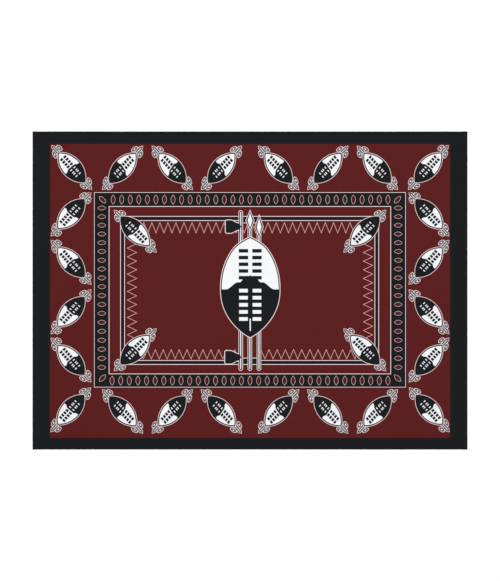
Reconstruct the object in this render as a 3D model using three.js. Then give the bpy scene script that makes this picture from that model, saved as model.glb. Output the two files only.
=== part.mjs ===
// A printed cotton wrap cloth, lying flat and face up.
//
// The cloth is one rectangle of plain-weave cotton. Its two long edges are the
// loom's own selvedges, left as woven. Its two short ends were cut from the roll,
// so each is turned under twice and sewn down as a narrow hem. The cloth rests on
// its underside, and lies a little higher over each hem, where there are three layers.
//
// Millimetres, +Z up. The origin is under the middle of the cloth, on the surface
// that it lies on. +X runs along the cloth's length and +Y across the loom's width.

import * as THREE from 'three';

// Driving dimensions of the cloth
const CLOTH_LENGTH = 1504; // from hem to hem, along X
const LOOM_WIDTH = 1100; // from selvedge to selvedge, along Y
const CLOTH_THICKNESS = 1.0; // one layer, with the air that it holds as it lies

// The hem at each cut end
const HEM_WIDTH = 11; // how far the turned end reaches in from its fold
const HEM_HEIGHT = 2.2; // three layers, pressed and sewn down
const HEM_SLOPE = 7; // over which the top layer comes down to the surface again
const FOLD_STEPS = 6; // facets round the folded edge
const SLOPE_STEPS = 6; // facets down the slope behind the hem

// The dyed ground that most of the cloth shows
const GROUND_COLOUR = '#5d2322';

// Height of the cloth's upper face at a distance in from the fold of the nearer hem
function upperFace(inset) {
  const down = THREE.MathUtils.smoothstep(inset, HEM_WIDTH, HEM_WIDTH + HEM_SLOPE);
  return THREE.MathUtils.lerp(HEM_HEIGHT, CLOTH_THICKNESS, down);
}

// One end of the section, from the surface round the fold and down to the plain cloth,
// as pairs of distance in from the fold and height
function hemmedEnd() {
  const points = [];
  const foldRadius = HEM_HEIGHT / 2;
  for (let step = 0; step <= FOLD_STEPS; step += 1) {
    const turn = (Math.PI * step) / FOLD_STEPS;
    points.push([foldRadius * (1 - Math.sin(turn)), foldRadius * (1 - Math.cos(turn))]);
  }
  for (let step = 0; step <= SLOPE_STEPS; step += 1) {
    const inset = HEM_WIDTH + (HEM_SLOPE * step) / SLOPE_STEPS;
    points.push([inset, upperFace(inset)]);
  }
  return points;
}

// The cloth cut through along its length, with a hem at each end
function clothSection() {
  const end = hemmedEnd();
  const right = end.map(([inset, height]) => new THREE.Vector2(CLOTH_LENGTH / 2 - inset, height));
  const left = end.map(([inset, height]) => new THREE.Vector2(inset - CLOTH_LENGTH / 2, height));
  return new THREE.Shape([...right, ...left.reverse()]);
}

// The section carried across the loom's width, from one selvedge to the other
function clothGeometry() {
  const geometry = new THREE.ExtrudeGeometry(clothSection(), { depth: LOOM_WIDTH, bevelEnabled: false });
  geometry.rotateX(Math.PI / 2);
  geometry.translate(0, LOOM_WIDTH / 2, 0);
  return geometry;
}

const printedCotton = new THREE.MeshStandardMaterial({ color: GROUND_COLOUR, roughness: 0.9, metalness: 0 });

const cloth = new THREE.Mesh(clothGeometry(), printedCotton);
cloth.name = 'kanga_cloth';

const kanga = new THREE.Group();
kanga.add(cloth);

export default kanga;
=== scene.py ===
import math

import bmesh
import bpy
from mathutils import Matrix, Vector, noise


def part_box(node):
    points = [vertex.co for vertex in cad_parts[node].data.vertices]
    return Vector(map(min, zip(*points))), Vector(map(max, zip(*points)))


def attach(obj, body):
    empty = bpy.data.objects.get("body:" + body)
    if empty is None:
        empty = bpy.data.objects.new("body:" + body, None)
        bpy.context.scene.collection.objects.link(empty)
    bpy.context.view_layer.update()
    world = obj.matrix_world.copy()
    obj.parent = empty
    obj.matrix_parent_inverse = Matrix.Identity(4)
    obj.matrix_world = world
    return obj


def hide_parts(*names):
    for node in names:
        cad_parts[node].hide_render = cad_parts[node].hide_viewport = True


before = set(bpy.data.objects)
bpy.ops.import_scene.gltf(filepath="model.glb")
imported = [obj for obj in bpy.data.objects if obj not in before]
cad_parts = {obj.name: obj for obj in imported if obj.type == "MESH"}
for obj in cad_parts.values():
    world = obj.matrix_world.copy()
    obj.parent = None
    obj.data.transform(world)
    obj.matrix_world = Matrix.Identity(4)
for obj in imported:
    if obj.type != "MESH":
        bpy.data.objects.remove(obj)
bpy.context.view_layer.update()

# The cotton
# The cloth is a plain weave of fine cotton yarn: each yarn goes over one and under the next.
# Thicker places in the yarns show as faint streaks along and across the cloth. The colour is also
# darkened where the yarns dip between their crowns, as painted shade. Lengths on the cloth are in
# millimetres here, from its middle, along its length and across the loom's width.
YARN_PITCH = 0.42
WEAVE_WANDER = 0.12
WANDER_PATCH = 3.0
STREAK_LENGTH = 70.0
STREAK_WIDTH = 0.9
STREAK_STRENGTH = 0.045
STREAK_HEIGHT = 0.6
MOTTLE_SIZE = 55.0
MOTTLE_DETAIL = 3.0
MOTTLE_STRENGTH = 0.05
NOISE_MEAN = 0.5
# Painted shade: how much darker the colour is painted in the dips between the yarns' crowns
PAINTED_YARN_SHADE = 0.22
MEAN_CROWN = 0.49
WARP_SHADE = 0.06
COTTON_ROUGHNESS = 0.88
ROUGHNESS_CHANGE = 0.10


def feed(slot, value):
    """Links an amount to a node's input, or sets the input to a plain number."""
    if isinstance(value, Amount):
        slot.id_data.links.new(value.socket, slot)
    else:
        slot.default_value = value


class Amount:
    """A number that changes over the cloth. Arithmetic on it adds Math nodes to its node tree."""

    def __init__(self, socket):
        self.socket = socket
        self.tree = socket.id_data

    def through(self, operation, *others, clamp=False):
        node = self.tree.nodes.new("ShaderNodeMath")
        node.operation = operation
        node.use_clamp = clamp
        for slot, value in zip(node.inputs, (self, *others)):
            feed(slot, value)
        return Amount(node.outputs[0])

    def __add__(self, other):
        return self.through("ADD", other)

    def __sub__(self, other):
        return self.through("SUBTRACT", other)

    def __rsub__(self, other):
        return self.through("MULTIPLY_ADD", -1.0, other)

    def __mul__(self, other):
        return self.through("MULTIPLY", other)

    def __abs__(self):
        return self.through("ABSOLUTE")

    def __gt__(self, limit):
        return self.through("GREATER_THAN", limit)


def new_group(name, inputs, outputs):
    """An empty node group, with its named inputs as amounts and its named outputs to feed."""
    tree = bpy.data.node_groups.new(name, "ShaderNodeTree")
    for label in inputs:
        tree.interface.new_socket(label, in_out="INPUT", socket_type="NodeSocketFloat")
    for label in outputs:
        tree.interface.new_socket(label, in_out="OUTPUT", socket_type="NodeSocketFloat")
    taken = tree.nodes.new("NodeGroupInput")
    given = tree.nodes.new("NodeGroupOutput")
    return tree, [Amount(taken.outputs[label]) for label in inputs], given.inputs


def place_group(group, tree, *amounts):
    """A node group placed in a tree and fed with amounts, as the amounts that it puts out."""
    node = tree.nodes.new("ShaderNodeGroup")
    node.node_tree = group
    for slot, amount in zip(node.inputs, amounts):
        feed(slot, amount)
    return [Amount(socket) for socket in node.outputs]


def grain(along, across, length, width, detail=1.0):
    """Even noise from 0 to 1 on the cloth, in patches of a length along it and a width across it."""
    tree = along.tree
    spot = tree.nodes.new("ShaderNodeCombineXYZ")
    feed(spot.inputs["X"], along * (1.0 / length))
    feed(spot.inputs["Y"], across * (1.0 / width))
    texture = tree.nodes.new("ShaderNodeTexNoise")
    texture.noise_dimensions = "2D"
    texture.inputs["Scale"].default_value = 1.0
    texture.inputs["Detail"].default_value = detail
    tree.links.new(spot.outputs["Vector"], texture.inputs["Vector"])
    return Amount(texture.outputs["Fac"])


def choose(mask, yes, no):
    """The amount yes where the mask is 1, and no where it is 0."""
    node = mask.tree.nodes.new("ShaderNodeMix")
    feed(node.inputs["Factor"], mask)
    feed(node.inputs["A"], no)
    feed(node.inputs["B"], yes)
    return Amount(node.outputs["Result"])


cotton, (along, across), cotton_out = new_group(
    "plain weave cotton", ["Along", "Across"], ["Shade", "Roughness", "Height"]
)
wander = grain(along, across, WANDER_PATCH, WANDER_PATCH)
warp_wave = ((along + wander * WEAVE_WANDER) * (math.pi / YARN_PITCH)).through("SINE")
weft_wave = ((across + wander * WEAVE_WANDER) * (math.pi / YARN_PITCH)).through("SINE")
warp_over = warp_wave * weft_wave > 0.0
warp_round = abs(warp_wave)
weft_round = abs(weft_wave)
crown = choose(
    warp_over,
    warp_round * weft_round.through("SQRT"),
    weft_round * warp_round.through("SQRT"),
)
streaks = grain(along, across, STREAK_LENGTH, STREAK_WIDTH)
streaks = streaks + grain(along, across, STREAK_WIDTH, STREAK_LENGTH) - 2 * NOISE_MEAN
mottle = grain(along, across, MOTTLE_SIZE, MOTTLE_SIZE, MOTTLE_DETAIL) - NOISE_MEAN
# Painted shade darkens the colour in the dips between the yarns' crowns; the warp and weft tones, the
# streaks and the mottle are the yarn's own colour
tone_and_painted_shade = (crown - MEAN_CROWN) * PAINTED_YARN_SHADE + (warp_over - 0.5) * WARP_SHADE + 1.0
tone_and_painted_shade = tone_and_painted_shade + streaks * STREAK_STRENGTH + mottle * MOTTLE_STRENGTH
feed(cotton_out["Shade"], tone_and_painted_shade)
feed(cotton_out["Roughness"], mottle * ROUGHNESS_CHANGE + COTTON_ROUGHNESS)
feed(cotton_out["Height"], crown + streaks * STREAK_HEIGHT)

# The print: its ground, border and frames
# The cloth is printed in black and white on a dark red ground, with a plain black border round its
# edge. Inside the border white lines, tinted a little by the ground, bound a black band and, within
# that, a narrow black bar that is wider for a short way behind the middle motif.
PRINT_EDGE = 0.7
FIELD = {"half_length": 691.9, "half_height": 508.2, "shift": 0.0, "rise": -1.4}
BAND_OUTSIDE = {"half_length": 538.2, "half_height": 336.8, "shift": -0.2, "rise": 2.3}
BAND_INSIDE = {"half_length": 487.1, "half_height": 289.5, "shift": -0.4, "rise": 1.1}
BAR_OUTSIDE = {"half_length": 446.4, "half_height": 256.1, "shift": -1.4, "rise": 0.3}
BAR_INSIDE = {"half_length": 432.9, "half_height": 242.0, "shift": -1.0, "rise": 0.0}
BAR_STEP = {"half_length": 31.5, "shift": -1.5, "depth": 8.3}
BAND_EDGE = 3.4
BAND_OUTSIDE_LINE = 1.5
FRAME_LINE = 1.95
LINE_TINT = 0.4


def within_both(first, second):
    """Distance to what two shapes have in common."""
    return first.through("MAXIMUM", second)


def within_either(first, second):
    """Distance to two shapes joined."""
    return first.through("MINIMUM", second)


def reach(first, second):
    """Length of a slanting line from its two square parts."""
    return second.through("MULTIPLY_ADD", second, first * first).through("SQRT")


def inside(distance):
    """1 inside a shape and 0 outside it, from the distance to its edge, with the ink's soft edge."""
    return distance.through("MULTIPLY_ADD", -1.0 / PRINT_EDGE, 0.5, clamp=True)


def rectangle(x, y, half_length, half_height, shift, rise):
    """Distance to a rectangle's edge, below 0 inside it."""
    return within_both(abs(x - shift) - half_length, abs(y - rise) - half_height)


class Inks:
    """The shares of black, white and pink on the ground so far. Each layer is printed over the last."""

    def __init__(self, black):
        self.black = black
        self.white = 0.0
        self.pink = 0.0

    def print_over(self, cover, black, white, pink=0.0):
        self.black = choose(cover, black, self.black)
        self.white = choose(cover, white, self.white)
        self.pink = choose(cover, pink, self.pink)

    def print_line(self, distance, width):
        self.print_over(inside(abs(distance) - width / 2), 0.0, 1.0 - LINE_TINT, 1.0)


shield_print, (x, y), print_out = new_group(
    "shield cloth print", ["Along", "Across"], ["Black", "White", "Pink"]
)
inks = Inks(1.0 - inside(rectangle(x, y, **FIELD)))
band_outside = rectangle(x, y, **BAND_OUTSIDE)
band_inside = rectangle(x, y, **BAND_INSIDE)
inks.print_over(inside(within_both(band_outside - BAND_EDGE, band_inside * -1.0)), 1.0, 0.0)
inks.print_line(band_outside, BAND_OUTSIDE_LINE)
inks.print_line(band_inside, FRAME_LINE)
bar_outside = rectangle(x, y, **BAR_OUTSIDE)
bar_inside = rectangle(x, y, **BAR_INSIDE)
deeper = inside(abs(x - BAR_STEP["shift"]) - BAR_STEP["half_length"]) * BAR_STEP["depth"]
bar_inside = within_both(bar_inside, abs(y) + deeper - BAR_INSIDE["half_height"])
inks.print_over(inside(within_both(bar_outside, bar_inside * -1.0)), 1.0, 0.0)
inks.print_line(bar_outside, FRAME_LINE)
inks.print_line(bar_inside, FRAME_LINE)

# The almonds in the band
# A row of small dark red almonds, each with a thin white outline, fills the band. They stand
# across the band, and one points out of each corner. They are spaced so that those at the upper
# left are a little closer, and those in the columns are shorter and sit high in the middle.
ALMOND_HALF_WIDTH = 7.2
ALMOND_HALF_LENGTH = 15.8
ALMOND_LINE = 0.7
ALMOND_SHADE = 0.3
ROW_ALMONDS = 33
ROW_PITCH = 29.82
ROW_HEIGHT = 313.1
ROW_RISE = 1.4
ROW_END = ROW_ALMONDS / 2 * ROW_PITCH
UPPER_LEFT_STRETCH = 0.008
COLUMN_ALMONDS = 19
COLUMN_PITCH = 30.66
COLUMN_PLACE = 512.7
COLUMN_RISE = -5.9
COLUMN_BOW = {"rise": 3.8, "half_height": 290.0}
COLUMN_END = COLUMN_ALMONDS / 2 * COLUMN_PITCH
COLUMN_SHORTEN = 0.88
CORNER_ALMOND = {"place": 510.2, "height": 308.6, "rise": 5.4}


def almond(across, along, half_width, half_length):
    """Distance to an almond of two round arcs. The distance across from its middle is never below 0."""
    radius = (half_width**2 + half_length**2) / (2 * half_width)
    return reach(across + (radius - half_width), along) - radius


far_x = abs(x)
from_row = abs(y - ROW_RISE) - ROW_HEIGHT
from_column = far_x - COLUMN_PLACE
in_columns = far_x > ROW_END
bow = y * y * (COLUMN_BOW["rise"] / COLUMN_BOW["half_height"] ** 2) - COLUMN_BOW["rise"]
column_y = y + bow - COLUMN_RISE
row_x = x.through("MINIMUM", x * ((y > 0.0) * UPPER_LEFT_STRETCH + 1.0))
almond_across = choose(
    in_columns,
    (column_y + COLUMN_PITCH / 2).through("PINGPONG", COLUMN_PITCH / 2),
    row_x.through("PINGPONG", ROW_PITCH / 2),
)
almond_along = choose(in_columns, from_column * (1 / COLUMN_SHORTEN), from_row)
at_corner = in_columns * (abs(column_y - COLUMN_PITCH / 2) > COLUMN_END)
corner_x = far_x - CORNER_ALMOND["place"]
corner_y = abs(y - CORNER_ALMOND["rise"]) - CORNER_ALMOND["height"]
half_root = math.sqrt(0.5)
almond_across = choose(at_corner, abs(corner_x - corner_y) * half_root, almond_across)
almond_along = choose(at_corner, (corner_x + corner_y) * half_root, almond_along)
almond_edge = almond(almond_across, almond_along, ALMOND_HALF_WIDTH, ALMOND_HALF_LENGTH)
inks.print_over(inside(almond_edge), ALMOND_SHADE, 0.0)
inks.print_line(almond_edge, ALMOND_LINE)

# The zigzags inside the bar
# One thin zigzag, white tinted by the ground, follows each side of the bar and ends behind the
# shields in its corners. The lower one stops short of the middle motif. The left and right halves
# are spaced a little differently.
ZIGZAG_LINE = 1.3
UPPER_ZIGZAG = {"crest": 235.2, "depth": 36.3, "pitch": (27.74, 28.33), "first": (117.4, 62.4)}
LOWER_ZIGZAG = {"crest": -204.4, "depth": 32.5, "pitch": (27.5, 28.3), "first": (107.7, 65.8)}
SIDE_ZIGZAG = {"crest": 424.3, "depth": 32.2, "pitch": 30.0, "first": 146.7}
ZIGZAG_END = 373.0
LOWER_ZIGZAG_GAP = 33.0
SIDE_ZIGZAG_REACH = {"middle": -3.0, "half_height": 164.0}


def zigzag(turns, drop, depth, pitch):
    """Distance to a zigzag line, from the turns along it and the drop below its crests."""
    steepness = math.hypot(1.0, 2 * depth / pitch)
    return abs(drop - turns.through("PINGPONG", 0.5) * (2 * depth)) * (1 / steepness)


on_right = x > 0.0
for side in (UPPER_ZIGZAG, LOWER_ZIGZAG):
    left_pitch, right_pitch = side["pitch"]
    left_first, right_first = side["first"]
    first = choose(on_right, right_first, left_first)
    turns = (far_x - first) * choose(on_right, 1 / right_pitch, 1 / left_pitch)
    zigzag_edge = zigzag(turns, side["crest"] - y, side["depth"], left_pitch) - ZIGZAG_LINE / 2
    zigzag_edge = within_both(zigzag_edge, far_x - ZIGZAG_END)
    if side is LOWER_ZIGZAG:
        zigzag_edge = within_both(zigzag_edge, LOWER_ZIGZAG_GAP - far_x)
    inks.print_over(inside(zigzag_edge), 0.0, 0.0, 1.0)
turns = (y - SIDE_ZIGZAG["first"]) * (1 / SIDE_ZIGZAG["pitch"])
drop = SIDE_ZIGZAG["crest"] - far_x
zigzag_edge = zigzag(turns, drop, SIDE_ZIGZAG["depth"], SIDE_ZIGZAG["pitch"]) - ZIGZAG_LINE / 2
past_reach = abs(y - SIDE_ZIGZAG_REACH["middle"]) - SIDE_ZIGZAG_REACH["half_height"]
inks.print_over(inside(within_both(zigzag_edge, past_reach)), 0.0, 0.0, 1.0)

# The staff, spears and plumes
# Behind the middle shield stand a staff, on the left, and two spears. Two black plumes stand out
# from the staff. Each rod is a white line between two black ones, inside a white outline.
ROD_SPACING = 31.5
ROD_SHIFT = -0.5
ROD_END = 277.6
ROD_RADIUS = 7.5
ROD_OUTLINE = 1.8
ROD_CORE = 1.7
SPEAR_SHAFT_TOP = 235.0
BLADE_HALF_WIDTH = 10.8
BLADE_SLOPE = 0.42
BLADE_SHIFT = 0.6
BLADE_RIM = 2.6
BLADE_OUTLINE = 1.9
BLADE_CORE = {"half_width": 8.4, "slope": 0.33}
BLADE_HEIGHTS = {"middle": 242.4, "right": 219.5}
RIGHT_BLADE_STRETCH = 1.2
PLUME_HEIGHT = 226.0
PLUME_RISE = -5.0
PLUME_END = {"upper": -84.3, "lower": -86.4}
PLUME_CORNER = 4.5
PLUME_HALF_HEIGHT = {"start": -68.0, "end": -38.0, "before": 22.3, "after": 11.0}
PLUME_POINT = -29.8
PLUME_POINT_SLOPE = 1.5
PLUME_OUTLINE = 2.3


def ease(amount, start, end, before, after):
    """A smooth change from one value before the start to another after the end."""
    node = amount.tree.nodes.new("ShaderNodeMapRange")
    node.interpolation_type = "SMOOTHSTEP"
    feed(node.inputs["Value"], amount)
    node.inputs["From Min"].default_value = start
    node.inputs["From Max"].default_value = end
    node.inputs["To Min"].default_value = before
    node.inputs["To Max"].default_value = after
    return Amount(node.outputs["Result"])


def point(across, along, slope, end):
    """Distance to a point that narrows with a slope to its end. The distance across is never below 0."""
    return (across - (end - along) * slope) * (1 / math.hypot(1.0, slope))


def print_lined(cover, line, white):
    """Prints all that a cover holds: tinted white lines, white parts, and black between them."""
    inks.print_over(cover, 1.0 - line - white, line * (1.0 - LINE_TINT) + white, line)


def print_outlined(edge, rim, outline, white):
    """Prints a shape with a black rim and a thin white outline, and its own white parts inside."""
    print_lined(inside(edge - (rim + outline)), 1.0 - inside(edge - rim), white)


plume_y = abs(abs(y - PLUME_RISE) - PLUME_HEIGHT)
plume_half = ease(x, **PLUME_HALF_HEIGHT)
past_plume_side = (plume_y - plume_half + PLUME_CORNER).through("MAXIMUM", 0.0)
plume_end = choose(y > 0.0, PLUME_END["upper"] + PLUME_CORNER, PLUME_END["lower"] + PLUME_CORNER)
past_plume_end = (plume_end - x).through("MAXIMUM", 0.0)
plume = reach(past_plume_side, past_plume_end) - PLUME_CORNER
plume = within_both(plume, point(plume_y, x, PLUME_POINT_SLOPE, PLUME_POINT))
inks.print_over(inside(plume - PLUME_OUTLINE), 0.0, 1.0 - LINE_TINT, 1.0)

rods_x = x - ROD_SHIFT
right_rod = rods_x > ROD_SPACING / 2
middle_rod = rods_x > -ROD_SPACING / 2
from_rod = rods_x + ROD_SPACING - (right_rod + middle_rod) * ROD_SPACING
rod_top = choose(middle_rod, SPEAR_SHAFT_TOP, ROD_END)
past_rod_end = within_both(y - rod_top, y * -1.0 - ROD_END) + ROD_RADIUS
rod = reach(from_rod, past_rod_end.through("MAXIMUM", 0.0)) - (ROD_RADIUS - ROD_OUTLINE)
print_outlined(rod, 0.0, ROD_OUTLINE, inside(rod + (ROD_RADIUS - ROD_OUTLINE - ROD_CORE)))
inks.print_over(inside(plume), 1.0, 0.0)
blade_x = abs(from_rod - BLADE_SHIFT)
blade_y = y - choose(right_rod, BLADE_HEIGHTS["right"], BLADE_HEIGHTS["middle"])
blade_y = abs(blade_y) * choose(right_rod * (blade_y > 0.0), 1 / RIGHT_BLADE_STRETCH, 1.0)
blade = point(blade_x, blade_y, BLADE_SLOPE, BLADE_HALF_WIDTH / BLADE_SLOPE)
blade = choose(middle_rod, blade, BLADE_HALF_WIDTH)
blade_core = point(blade_x, blade_y, BLADE_CORE["slope"], BLADE_CORE["half_width"] / BLADE_CORE["slope"])
print_outlined(blade, BLADE_RIM, BLADE_OUTLINE, inside(blade_core))

# The middle shield
# A large hide shield, white above and black below. Two rows of slots, where the hide is laced on
# its stick, run down it: black ones in the white half and white ones in the black half.
MIDDLE_HALF_WIDTH = 98.4
MIDDLE_SHIFT = 0.8
MIDDLE_RISE = 6.8
MIDDLE_UP = {"length": 176.4, "tip_roundness": 1.52, "side_roundness": 2.07}
MIDDLE_DOWN = {"length": 164.6, "tip_roundness": 1.16, "side_roundness": 2.28}
MIDDLE_TIP = {"height": 182.9, "slope": 1.75, "blend": 12.0}
MIDDLE_RIM = 3.7
MIDDLE_OUTLINE = 2.2
SLOT_ROWS = 5
SLOT_PLACE = 23.3
BLACK_SLOTS = {"middle_row": 90.7, "pitch": 23.26, "half_width": 16.4, "half_height": 6.2}
WHITE_SLOTS = {"middle_row": -49.5, "pitch": 24.5, "half_width": 15.0, "half_height": 6.2}
STICK_END = {"middle": -118.6, "half_height": 21.0, "half_width": 2.1}
DIVIDE_LOW = 4.0
DIVIDE_SHOULDER = {"start": 42.0, "end": 84.0, "before": 24.5, "after": 0.0}
DIVIDE_NECK = {"start": 16.0, "end": 36.0, "before": 21.0, "after": 0.0}
DIVIDE_PEAK = {"half_width": 5.0, "height": 4.0}


def slots(x, y, middle_row, pitch, half_width, half_height):
    """Distance to the rows of slots beside the stick."""
    from_row = y - middle_row
    tall = from_row.through("PINGPONG", pitch / 2) - half_height
    tall = within_both(tall, abs(from_row) - SLOT_ROWS / 2 * pitch)
    return within_both(tall, abs(x - SLOT_PLACE) - half_width)


middle_x = abs(x - MIDDLE_SHIFT)
upper_half = y > MIDDLE_RISE
long_half = choose(upper_half, 1 / MIDDLE_UP["length"], 1 / MIDDLE_DOWN["length"])
at_tip = choose(upper_half, MIDDLE_UP["tip_roundness"], MIDDLE_DOWN["tip_roundness"])
at_side = choose(upper_half, MIDDLE_UP["side_roundness"], MIDDLE_DOWN["side_roundness"])
part_x = middle_x * (1 / MIDDLE_HALF_WIDTH)
part_y = abs(y - MIDDLE_RISE) * long_half
bulge = part_x.through("POWER", at_tip) + part_y.through("POWER", at_side) - 1.0
steep_x = part_x.through("POWER", at_tip - 1.0) * at_tip * (1 / MIDDLE_HALF_WIDTH)
steep_y = part_y.through("POWER", at_side - 1.0) * at_side * long_half
middle = bulge.through("DIVIDE", reach(steep_x, steep_y))
middle_tip = point(middle_x, y, MIDDLE_TIP["slope"], MIDDLE_TIP["height"])
middle = middle.through("SMOOTH_MAX", middle_tip, MIDDLE_TIP["blend"])
divide = ease(middle_x, **DIVIDE_SHOULDER) + ease(middle_x, **DIVIDE_NECK)
peak = middle_x.through("MULTIPLY_ADD", -1 / DIVIDE_PEAK["half_width"], 1.0, clamp=True)
divide = divide + peak * DIVIDE_PEAK["height"] + DIVIDE_LOW
white_half = within_both(divide - y, slots(middle_x, y, **BLACK_SLOTS) * -1.0)
white_bits = slots(middle_x, y, **WHITE_SLOTS)
stick_end = abs(y - STICK_END["middle"]) - STICK_END["half_height"]
stick_end = within_both(middle_x - STICK_END["half_width"], stick_end)
white_part = within_both(middle, within_either(white_half, within_either(white_bits, stick_end)))
print_outlined(middle, MIDDLE_RIM, MIDDLE_OUTLINE, inside(white_part))

# The small shields
# The same shield, small, stands slanting in a ring round the cloth and in the corners of the bar.
# Each end of its stick is trimmed with a tuft: a pointed tail between two round ones. Those in the
# rows are drawn a little askew, and those in the corners of the bar are a little longer.
SMALL_HALF_WIDTH = 30.3
SMALL_HALF_LENGTH = 65.0
SMALL_RIM = 4.0
SMALL_OUTLINE = 1.5
SMALL_SLOT_PLACE = 7.4
SMALL_BLACK_SLOTS = {"middle": 26.5, "pitch": 11.1, "half_height": 4.0, "half_width": 5.5}
SMALL_WHITE_SLOTS = {"middle": -19.6, "half_height": 1.65, "half_width": 3.8}
SMALL_WHITE_ROWS = {"first": 3.2, "second": 13.7}
SMALL_DIVIDE = {"start": 12.0, "end": 25.0, "before": 3.0, "after": -3.4}
SLOT_SKEW_SHARE = 0.5
TAIL_END = 104.2
TAIL_SLOPE = 0.75
TAIL_HALF_WIDTH = 7.0
TAIL_OUTLINE = 1.1
TAIL_CORE = 1.0
TAIL_LINE_PLACE = 3.7
TUFT_PLACE = {"across": 13.8, "along": 76.0}
TUFT_SIZE = {"half_width": 7.4, "half_length": 12.8}
TUFT_LEAN = 0.2
TUFT_OUTLINE = 1.25
TUFT_BLEND = 4.0
TUFT_CORE = 2.0
TUFT_LINE_PLACE = 4.2
TUFT_LINE = 0.25
TUFT_SKEW = 0.24
TUFT_SHIFT = 2.0
RING_ROW_HEIGHT = 420.6
RING_ROW_RISE = 3.1
RING_ROW_PLACES = (98.2, 269.6, 440.0, 616.8)
RING_COLUMN_PLACE = 619.0
RING_COLUMN_RISE = 12.1
RING_COLUMN_HEIGHTS = (85.7, 252.5)
RING_SLANT = math.radians(42.2)
RING_ROW_SKEW = 0.25
OTHER_SKEW = -0.04
RING_CORNER = {"lift": 3.3, "outward": 1.6, "lower_spread": 3.5}
CORNER_SHIELD = {"place": 397.1, "height": 205.1, "stretch": 1.03}
CORNER_SLANT = math.radians(45.0)
ROW_LIMIT = 336.6
COLUMN_LIMIT = 519.0

small_shield, (across, along, of_row, of_corner), small_out = new_group(
    "small shield", ["Across", "Along", "Of row", "Of corner"], ["Cover", "Line", "White"]
)
skew = choose(of_row, RING_ROW_SKEW, OTHER_SKEW)
body_along = along * choose(of_corner, 1 / CORNER_SHIELD["stretch"], 1.0)
divide_along = body_along + across * skew
slot_along = body_along + across * skew * SLOT_SKEW_SHARE
far_along = abs(along)
white_end = along > 0.0
shifted_across = across + of_row * (1.0 - white_end) * TUFT_SHIFT
tuft_along = far_along + shifted_across * (white_end - of_row) * TUFT_SKEW - TUFT_PLACE["along"]
tuft_across = abs(shifted_across)
tuft = reach(
    tuft_across + tuft_along * TUFT_LEAN - TUFT_PLACE["across"],
    tuft_along * (TUFT_SIZE["half_width"] / TUFT_SIZE["half_length"]),
)
tail = point(tuft_across, far_along, TAIL_SLOPE, TAIL_END)
tail = within_both(tail, tuft_across - TAIL_HALF_WIDTH)
tail_white = inside(tail + (TAIL_HALF_WIDTH - TAIL_CORE)) + 1.0 - inside(tail + TAIL_OUTLINE)
tail_white = tail_white + inside(abs(tail + TAIL_LINE_PLACE) - TUFT_LINE / 2)
tuft_white = inside(tuft - TUFT_CORE) + inside(abs(tuft - TUFT_LINE_PLACE) - TUFT_LINE / 2)
trim = tail.through("SMOOTH_MIN", tuft - TUFT_SIZE["half_width"], TUFT_BLEND)
trim_line = 1.0 - inside(trim + TUFT_OUTLINE)
trim_white = (1.0 - trim_line) * choose(inside(tail), tail_white, tuft_white)
from_stick = abs(across)
body = almond(from_stick, body_along, SMALL_HALF_WIDTH, SMALL_HALF_LENGTH)
slot_across = abs(from_stick - SMALL_SLOT_PLACE)
half_pitch = SMALL_BLACK_SLOTS["pitch"] / 2
black_rows = abs(abs(abs(slot_along - SMALL_BLACK_SLOTS["middle"]) - 2 * half_pitch) - half_pitch)
black_slots = within_both(
    black_rows - SMALL_BLACK_SLOTS["half_height"], slot_across - SMALL_BLACK_SLOTS["half_width"]
)
row_middle = (SMALL_WHITE_ROWS["first"] + SMALL_WHITE_ROWS["second"]) / 2
row_step = (SMALL_WHITE_ROWS["second"] - SMALL_WHITE_ROWS["first"]) / 2
white_rows = abs(abs(abs(slot_along - SMALL_WHITE_SLOTS["middle"]) - row_middle) - row_step)
white_slots = within_both(
    white_rows - SMALL_WHITE_SLOTS["half_height"], slot_across - SMALL_WHITE_SLOTS["half_width"]
)
white_half = within_both(ease(from_stick, **SMALL_DIVIDE) - divide_along, black_slots * -1.0)
body_white = inside(within_both(body, within_either(white_half, white_slots)))
body_cover = inside(body - (SMALL_RIM + SMALL_OUTLINE))
feed(small_out["Cover"], inside(trim).through("MAXIMUM", body_cover))
feed(small_out["Line"], choose(body_cover, 1.0 - inside(body - SMALL_RIM), trim_line))
feed(small_out["White"], choose(body_cover, body_white, trim_white))

in_row = abs(y - RING_ROW_RISE) > ROW_LIMIT
in_column = far_x > COLUMN_LIMIT
place_x = choose(in_column, RING_COLUMN_PLACE, CORNER_SHIELD["place"])
lean_x = choose(in_column, 1.0, -1.0)
ring_column_y = abs(y - RING_COLUMN_RISE)
outer_in_column = ring_column_y > sum(RING_COLUMN_HEIGHTS) / 2
column_height = choose(outer_in_column, RING_COLUMN_HEIGHTS[1], RING_COLUMN_HEIGHTS[0])
shield_y = choose(in_column, ring_column_y - column_height, abs(y) - CORNER_SHIELD["height"])
lean_y = choose(in_column, 1.0 - outer_in_column * 2.0, -1.0)
# The shields along a row lean to one side and to the other in turn
row_place = RING_ROW_PLACES[0]
row_lean = -1.0
turned = 2.0
for near, far in zip(RING_ROW_PLACES, RING_ROW_PLACES[1:]):
    further_out = far_x > (near + far) / 2
    row_place = further_out.through("MULTIPLY_ADD", far - near, row_place)
    row_lean = further_out.through("MULTIPLY_ADD", turned, row_lean)
    turned = -turned
ring_corner = far_x > sum(RING_ROW_PLACES[-2:]) / 2
row_place = row_place + ring_corner * (1.0 - (y > 0.0)) * RING_CORNER["lower_spread"]
ring_row_y = abs(y - ring_corner * RING_CORNER["lift"] - RING_ROW_RISE)
ring_row_y = ring_row_y + ring_corner * RING_CORNER["outward"]
shield_x = (far_x - choose(in_row, row_place, place_x)) * choose(in_row, row_lean, lean_x)
shield_y = choose(in_row, ring_row_y - RING_ROW_HEIGHT, shield_y * lean_y)
of_row = in_row * (1.0 - ring_corner)
in_ring = in_row.through("MAXIMUM", in_column)
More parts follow.
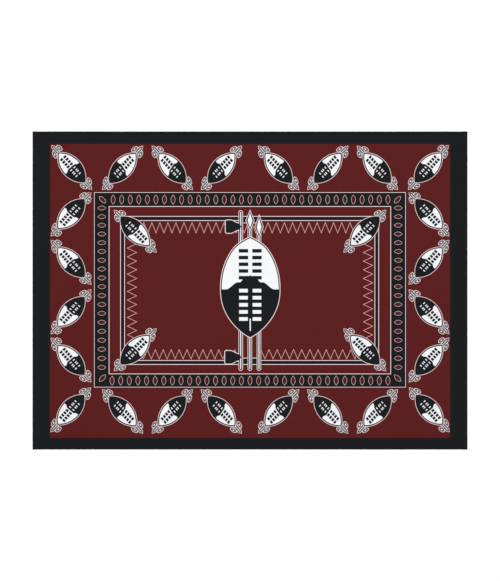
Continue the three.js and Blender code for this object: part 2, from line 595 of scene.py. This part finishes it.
sine = choose(in_ring, math.sin(RING_SLANT), math.sin(CORNER_SLANT))
cosine = choose(in_ring, math.cos(RING_SLANT), math.cos(CORNER_SLANT))
shield_along = shield_x * sine + shield_y * cosine
shield_across = shield_x * cosine - shield_y * sine
of_corner = 1.0 - in_ring
print_lined(*place_group(small_shield, shield_print, shield_across, shield_along, of_row, of_corner))
feed(print_out["Black"], inks.black)
feed(print_out["White"], inks.white)
feed(print_out["Pink"], inks.pink)

# The cloth
# One rectangle of the printed cotton, spread on the floor. The long edges are selvedges, left as
# woven. The short cut ends are turned under twice and sewn down as narrow hems, and the three
# layers of a hem show where it ends at a selvedge.
highest_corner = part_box("kanga_cloth")[1]
HALF_LENGTH = highest_corner.x
HALF_WIDTH = highest_corner.y
HEM_HEIGHT = highest_corner.z
MM = 0.001
TOLERANCE = 1e-6
GRID_CELLS = (150, 110)
LAYER = 0.5 * MM
AIR_UNDER = 1.1 * MM
AIR_PATCH = 0.22
AIR_SEED = 3.7
RIPPLE = 0.16 * MM
RIPPLE_LENGTH = 0.05
RIPPLE_SEED = 8.1
HEM_WIDTH = 11 * MM
HEM_SLOPE = 7 * MM
HEM_REACH = HEM_WIDTH + HEM_SLOPE
AIR_REACH = HEM_REACH + 77 * MM
TURNED_EDGE = {"run": 0.8 * MM, "height": 1.0 * MM}
STITCH_INSET = 9.2 * MM
STITCH_DIP = 0.35 * MM
STITCH_GROOVE = 1.2 * MM
FOLD_RADIUS = 0.95 * MM
FOLD_SEGMENTS = 4
HEM_CUTS = (1.5, 4.0, 7.0, 8.4, 9.2, 10.0, 11.0, 12.0, 13.5, 15.0, 16.5, 18.0)
HEM_LAYERS = 3
LAYER_GROOVE = {"depth": 0.4 * MM, "half_width": 0.16 * MM}
SELVEDGE_CUTS = (1.0, 3.5, 6.5)
SELVEDGE_WIDTH = 6.5 * MM
SELVEDGE_FLAT = 3.9 * MM
SELVEDGE_RISE = 0.18 * MM
UPRIGHT = 0.5
FACE_MAP = {"left": 0.002, "bottom": 0.002, "width": 0.996}
BACK_MAP = {"left": 0.002, "bottom": 0.738, "width": 0.350}
EDGE_MAP = {"left": 0.36, "bottom": 0.745, "width": 0.63, "step": 0.06, "height": 0.048}


def smooth(value, start, end):
    """0 before the start, 1 after the end and a smooth change between them."""
    part = min(max((value - start) / (end - start), 0.0), 1.0)
    return part * part * (3 - 2 * part)


def air_under(x, y):
    """Height of the cloth's underside over the floor, where soft air pockets lift it a little."""
    spread = noise.noise(Vector((x / AIR_PATCH, y / AIR_PATCH, AIR_SEED)))
    fine = noise.noise(Vector((x / RIPPLE_LENGTH, y / RIPPLE_LENGTH, RIPPLE_SEED)))
    return max(spread, 0.0) * AIR_UNDER + max(fine, 0.0) * RIPPLE


def stitch_dip(inset):
    """How far the stitches draw the cloth in, at a distance in from the fold of the nearer hem."""
    return max(1 - abs(inset - STITCH_INSET) / STITCH_GROOVE, 0.0) * STITCH_DIP


def underside(x, y):
    """Height of the underside, flat on the floor at a hem but for its stitches and its turned edge."""
    inset = HALF_LENGTH - abs(x)
    free = smooth(inset, HEM_REACH, AIR_REACH)
    step = smooth(inset, HEM_WIDTH, HEM_WIDTH + TURNED_EDGE["run"])
    step *= 1 - smooth(inset, HEM_WIDTH, HEM_REACH)
    return air_under(x, y) * free + step * TURNED_EDGE["height"] + stitch_dip(inset)


def upper_face(x, y):
    """Height of the printed face, over the layers of a hem and over the thicker selvedge."""
    inset = HALF_LENGTH - abs(x)
    plain = LAYER + air_under(x, y) * smooth(inset, HEM_REACH, AIR_REACH)
    plain += SELVEDGE_RISE * (1 - smooth(HALF_WIDTH - abs(y), SELVEDGE_FLAT, SELVEDGE_WIDTH))
    down = smooth(inset, HEM_WIDTH, HEM_REACH)
    return HEM_HEIGHT * (1 - down) + plain * down - stitch_dip(inset)


sheet = bmesh.new()
bmesh.ops.create_grid(sheet, x_segments=GRID_CELLS[0], y_segments=GRID_CELLS[1], size=1.0)
bmesh.ops.scale(sheet, verts=sheet.verts, vec=(HALF_LENGTH, HALF_WIDTH, 1.0))
cuts = [(Vector((HALF_LENGTH - inset * MM, 0, 0)), Vector((1, 0, 0))) for inset in HEM_CUTS]
cuts += [(Vector((0, HALF_WIDTH - inset * MM, 0)), Vector((0, 1, 0))) for inset in SELVEDGE_CUTS]
for place, direction in cuts:
    for cut_place in (place, -place):
        geometry = sheet.verts[:] + sheet.edges[:] + sheet.faces[:]
        bmesh.ops.bisect_plane(sheet, geom=geometry, dist=TOLERANCE, plane_co=cut_place, plane_no=direction)
raised = bmesh.ops.extrude_face_region(sheet, geom=sheet.faces[:], use_keep_orig=True)
upper_verts = {item for item in raised["geom"] if isinstance(item, bmesh.types.BMVert)}
for vert in sheet.verts:
    height_at = upper_face if vert in upper_verts else underside
    vert.co.z = height_at(vert.co.x, vert.co.y)
bmesh.ops.recalc_face_normals(sheet, faces=sheet.faces[:])
fold_edges = []
for edge in sheet.edges:
    at_end = all(abs(vert.co.x) > HALF_LENGTH - TOLERANCE for vert in edge.verts)
    if at_end and abs(edge.verts[0].co.y - edge.verts[1].co.y) > TOLERANCE:
        fold_edges.append(edge)
bmesh.ops.bevel(
    sheet,
    geom=fold_edges,
    offset=FOLD_RADIUS,
    offset_type="OFFSET",
    segments=FOLD_SEGMENTS,
    profile=0.5,
    affect="EDGES",
    material=-1,
)


def hem_end_faces():
    """The faces where a hem ends at a selvedge, between its fold and its turned edge."""
    sheet.normal_update()
    faces = []
    for face in sheet.faces:
        inset = HALF_LENGTH - abs(face.calc_center_median().x)
        if abs(face.normal.y) > UPRIGHT and HEM_CUTS[0] * MM < inset < HEM_WIDTH:
            faces.append(face)
    return faces


# Each seam between two layers is cut across a hem's end, and drawn in as a fine groove
for layer in range(1, HEM_LAYERS):
    seam = HEM_HEIGHT * layer / HEM_LAYERS
    for height in (seam, seam - LAYER_GROOVE["half_width"], seam + LAYER_GROOVE["half_width"]):
        faces = hem_end_faces()
        edges = list(dict.fromkeys(edge for face in faces for edge in face.edges))
        verts = list(dict.fromkeys(vert for face in faces for vert in face.verts))
        geometry = verts + edges + faces
        bmesh.ops.bisect_plane(
            sheet, geom=geometry, dist=TOLERANCE, plane_co=(0, 0, height), plane_no=(0, 0, 1)
        )
    for vert in dict.fromkeys(vert for face in hem_end_faces() for vert in face.verts):
        inset = HALF_LENGTH - abs(vert.co.x)
        between = HEM_CUTS[0] * MM + TOLERANCE < inset < HEM_WIDTH - TOLERANCE
        if between and abs(vert.co.z - seam) < TOLERANCE:
            vert.co.y -= math.copysign(LAYER_GROOVE["depth"], vert.co.y)

# One map is the cloth's own plane, unfolded round the hems' folds and down the edges. The other
# lays out the face, the back and the edges side by side.
cloth_map = sheet.loops.layers.uv.new("cloth")
bake_map = sheet.loops.layers.uv.new("OFBake")
for face in sheet.faces:
    face.smooth = True
    centre = face.calc_center_median()
    on_edge = abs(face.normal.z) < UPRIGHT
    on_back = face.normal.z < -UPRIGHT
    in_hem = abs(centre.x) > HALF_LENGTH - HEM_WIDTH
    face.material_index = 1 if on_back and not in_hem else 0
    along_end = abs(centre.x) > HALF_LENGTH - FOLD_RADIUS
    strip = (2 if along_end else 0) + (1 if centre.x + centre.y > 0 else 0)
    for loop in face.loops:
        spot = loop.vert.co
        down_fold = HEM_HEIGHT - spot.z if along_end else 0.0
        down_side = upper_face(spot.x, spot.y) - spot.z if on_edge and not along_end else 0.0
        loop[cloth_map].uv = (
            spot.x + math.copysign(down_fold, spot.x),
            spot.y + math.copysign(down_side, spot.y),
        )
        if on_edge:
            part = (spot.y / HALF_WIDTH if along_end else spot.x / HALF_LENGTH) / 2 + 0.5
            run = part * EDGE_MAP["width"]
            rise = strip * EDGE_MAP["step"] + spot.z / HEM_HEIGHT * EDGE_MAP["height"]
            loop[bake_map].uv = (EDGE_MAP["left"] + run, EDGE_MAP["bottom"] + rise)
        else:
            layout = BACK_MAP if on_back else FACE_MAP
            scale = layout["width"] / (2 * HALF_LENGTH)
            loop[bake_map].uv = (
                layout["left"] + (spot.x + HALF_LENGTH) * scale,
                layout["bottom"] + (spot.y + HALF_WIDTH) * scale,
            )
sheet_mesh = bpy.data.meshes.new("printed_cloth")
sheet.to_mesh(sheet_mesh)
sheet.free()
printed_cloth = bpy.data.objects.new("printed_cloth", sheet_mesh)
bpy.context.collection.objects.link(printed_cloth)

FACE_INKS = {
    "ground": (0.0835, 0.0095, 0.0096),
    "black": (0.0077, 0.0086, 0.0094),
    "white": (0.730, 0.742, 0.762),
    "pink": (0.735, 0.425, 0.420),
}
BACK_INKS = {
    "ground": (0.140, 0.034, 0.033),
    "black": (0.034, 0.036, 0.039),
    "white": (0.660, 0.650, 0.645),
    "pink": (0.560, 0.300, 0.300),
}
COTTON_GLOSS = 0.06
COTTON_SHEEN = 0.04
WEAVE_RELIEF = 0.5
WEAVE_DEPTH = 0.10 * MM
INK_WANDER = 0.65
INK_WANDER_SIZE = 1.1
MIX_SOCKETS = {"factor": 0, "under": 6, "over": 7, "result": 2}


def mix_colours(mask, colour, under_colour):
    """A colour laid over another by a mask, as a colour socket. Mix nodes number their colour sockets."""
    node = mask.tree.nodes.new("ShaderNodeMix")
    node.data_type = "RGBA"
    under = node.inputs[MIX_SOCKETS["under"]]
    feed(node.inputs[MIX_SOCKETS["factor"]], mask)
    if isinstance(under_colour, tuple):
        under.default_value = (*under_colour, 1.0)
    else:
        mask.tree.links.new(under_colour, under)
    node.inputs[MIX_SOCKETS["over"]].default_value = (*colour, 1.0)
    return node.outputs[MIX_SOCKETS["result"]]


def printed_cotton(name, ground, black, white, pink):
    """The cotton with the print on it, in one side's strength of ink."""
    material = bpy.data.materials.new(name)
    material.use_nodes = True
    tree = material.node_tree
    shader = tree.nodes["Principled BSDF"]
    where = tree.nodes.new("ShaderNodeUVMap")
    where.uv_map = "cloth"
    parts = tree.nodes.new("ShaderNodeSeparateXYZ")
    tree.links.new(where.outputs["UV"], parts.inputs["Vector"])
    along = Amount(parts.outputs["X"]) * (1 / MM)
    across = Amount(parts.outputs["Y"]) * (1 / MM)
    print_x = along + (grain(along, across, INK_WANDER_SIZE, INK_WANDER_SIZE) - NOISE_MEAN) * INK_WANDER
    print_y = across + (grain(across, along, INK_WANDER_SIZE, INK_WANDER_SIZE) - NOISE_MEAN) * INK_WANDER
    black_share, white_share, pink_share = place_group(shield_print, tree, print_x, print_y)
    tone_and_painted_shade, roughness, height = place_group(cotton, tree, along, across)
    colour = mix_colours(black_share, black, ground)
    colour = mix_colours(pink_share, pink, colour)
    colour = mix_colours(white_share, white, colour)
    # The print's colour is scaled by the cotton's own tone and by the painted shade between its yarns
    woven = tree.nodes.new("ShaderNodeVectorMath")
    woven.operation = "SCALE"
    tree.links.new(colour, woven.inputs["Vector"])
    feed(woven.inputs["Scale"], tone_and_painted_shade)
    relief = tree.nodes.new("ShaderNodeBump")
    relief.inputs["Strength"].default_value = WEAVE_RELIEF
    relief.inputs["Distance"].default_value = WEAVE_DEPTH
    feed(relief.inputs["Height"], height)
    tree.links.new(woven.outputs["Vector"], shader.inputs["Base Color"])
    tree.links.new(relief.outputs["Normal"], shader.inputs["Normal"])
    feed(shader.inputs["Roughness"], roughness)
    shader.inputs["Specular IOR Level"].default_value = COTTON_GLOSS
    shader.inputs["Sheen Weight"].default_value = COTTON_SHEEN
    return material


sheet_mesh.materials.append(printed_cotton("printed face", **FACE_INKS))
sheet_mesh.materials.append(printed_cotton("print from behind", **BACK_INKS))
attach(printed_cloth, "root")
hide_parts("kanga_cloth")

# The hem stitching
# One row of black cotton lockstitch holds each hem, close to its turned edge. Each stitch is a
# short length of thread between two needle holes, pulled a little into the cloth.
STITCH_PITCH = 2.7 * MM
STITCH_LENGTH = 2.3 * MM
THREAD_RADIUS = 0.2 * MM
THREAD_SIDES = 6
THREAD_RINGS = 5
UPPER_THREAD_RISE = 0.3 * THREAD_RADIUS
LOWER_THREAD_RISE = 1.05 * THREAD_RADIUS
STITCH_SLANT = 0.12
THREAD_COLOUR = (0.010, 0.011, 0.012)
THREAD_FLECK = (0.022, 0.023, 0.025)
THREAD_TWIST_SCALE = 2500.0
THREAD_ROUGHNESS = 0.7
THREAD_GLOSS = 0.15

stitching = bmesh.new()
stitch_size = Matrix.Diagonal((THREAD_RADIUS, STITCH_LENGTH / 2, THREAD_RADIUS, 1.0))
stitch_turn = Matrix.Rotation(STITCH_SLANT, 4, "Z")
stitches = int(2 * HALF_WIDTH / STITCH_PITCH) - 1
first_y = -(stitches - 1) / 2 * STITCH_PITCH
for line_x in (STITCH_INSET - HALF_LENGTH, HALF_LENGTH - STITCH_INSET):
    for height in (upper_face(line_x, 0.0) + UPPER_THREAD_RISE, LOWER_THREAD_RISE):
        bmesh.ops.create_uvsphere(
            stitching,
            u_segments=THREAD_SIDES,
            v_segments=THREAD_RINGS,
            radius=1.0,
            matrix=Matrix.Translation((line_x, first_y, height)) @ stitch_turn @ stitch_size,
        )
for face in stitching.faces:
    face.smooth = True
stitch_mesh = bpy.data.meshes.new("hem_stitching")
stitching.to_mesh(stitch_mesh)
stitching.free()
hem_stitching = bpy.data.objects.new("hem_stitching", stitch_mesh)
bpy.context.collection.objects.link(hem_stitching)
stitch_row = hem_stitching.modifiers.new("row", "ARRAY")
stitch_row.count = stitches
stitch_row.use_relative_offset = False
stitch_row.use_constant_offset = True
stitch_row.constant_offset_displace = (0.0, STITCH_PITCH, 0.0)
thread = bpy.data.materials.new("black thread")
thread.use_nodes = True
thread_tree = thread.node_tree
thread_place = thread_tree.nodes.new("ShaderNodeTexCoord")
twist = thread_tree.nodes.new("ShaderNodeTexNoise")
twist.inputs["Scale"].default_value = THREAD_TWIST_SCALE
thread_tree.links.new(thread_place.outputs["Object"], twist.inputs["Vector"])
fleck = mix_colours(Amount(twist.outputs["Fac"]), THREAD_FLECK, THREAD_COLOUR)
thread_shader = thread_tree.nodes["Principled BSDF"]
thread_tree.links.new(fleck, thread_shader.inputs["Base Color"])
thread_shader.inputs["Roughness"].default_value = THREAD_ROUGHNESS
thread_shader.inputs["Specular IOR Level"].default_value = THREAD_GLOSS
stitch_mesh.materials.append(thread)
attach(hem_stitching, "root")

# The floor, the light and the camera
# The cloth lies on a plain pale floor under a large soft light. The camera looks straight down on
# it, with the print's top at the top of the picture.
FLOOR_SIZE = 14.0
FLOOR_CELLS = 8
FLOOR_DROP = 0.2 * MM
FLOOR_COLOUR = (0.93, 0.93, 0.93, 1.0)
FLOOR_ROUGHNESS = 0.9
FLOOR_GLOSS = 0.1
SKY_COLOUR = (1.0, 1.0, 1.0, 1.0)
SKY_STRENGTH = 0.80
LAMP_PLACE = (0.0, 0.7, 3.5)
LAMP_SIZE = 3.0
LAMP_POWER = 75.0
LENS = 85.0
SENSOR = 36.0
PICTURE_HEIGHT = 2.0098

floor_shape = bmesh.new()
bmesh.ops.create_grid(floor_shape, x_segments=FLOOR_CELLS, y_segments=FLOOR_CELLS, size=FLOOR_SIZE)
bmesh.ops.translate(floor_shape, verts=floor_shape.verts, vec=(0, 0, -FLOOR_DROP))
floor_mesh = bpy.data.meshes.new("floor")
floor_shape.to_mesh(floor_mesh)
floor_shape.free()
floor = bpy.data.objects.new("floor", floor_mesh)
bpy.context.collection.objects.link(floor)
floor_paint = bpy.data.materials.new("pale floor")
floor_paint.use_nodes = True
floor_shader = floor_paint.node_tree.nodes["Principled BSDF"]
floor_shader.inputs["Base Color"].default_value = FLOOR_COLOUR
floor_shader.inputs["Roughness"].default_value = FLOOR_ROUGHNESS
floor_shader.inputs["Specular IOR Level"].default_value = FLOOR_GLOSS
floor_mesh.materials.append(floor_paint)

world = bpy.data.worlds.new("soft light")
bpy.context.scene.world = world
world.use_nodes = True
sky = world.node_tree.nodes["Background"]
sky.inputs["Color"].default_value = SKY_COLOUR
sky.inputs["Strength"].default_value = SKY_STRENGTH
lamp = bpy.data.objects.new("soft_lamp", bpy.data.lights.new("soft_lamp", "AREA"))
lamp.data.size = LAMP_SIZE
lamp.data.energy = LAMP_POWER
lamp.location = LAMP_PLACE
lamp.rotation_euler = (-Vector(LAMP_PLACE)).to_track_quat("-Z", "Y").to_euler()
bpy.context.collection.objects.link(lamp)

camera = bpy.data.objects.new("camera", bpy.data.cameras.new("camera"))
camera.data.lens = LENS
camera.data.sensor_width = SENSOR
camera.location = (0.0, 0.0, PICTURE_HEIGHT * LENS / SENSOR)
bpy.context.collection.objects.link(camera)
bpy.context.scene.camera = camera
bpy.context.scene.view_settings.view_transform = "Standard"
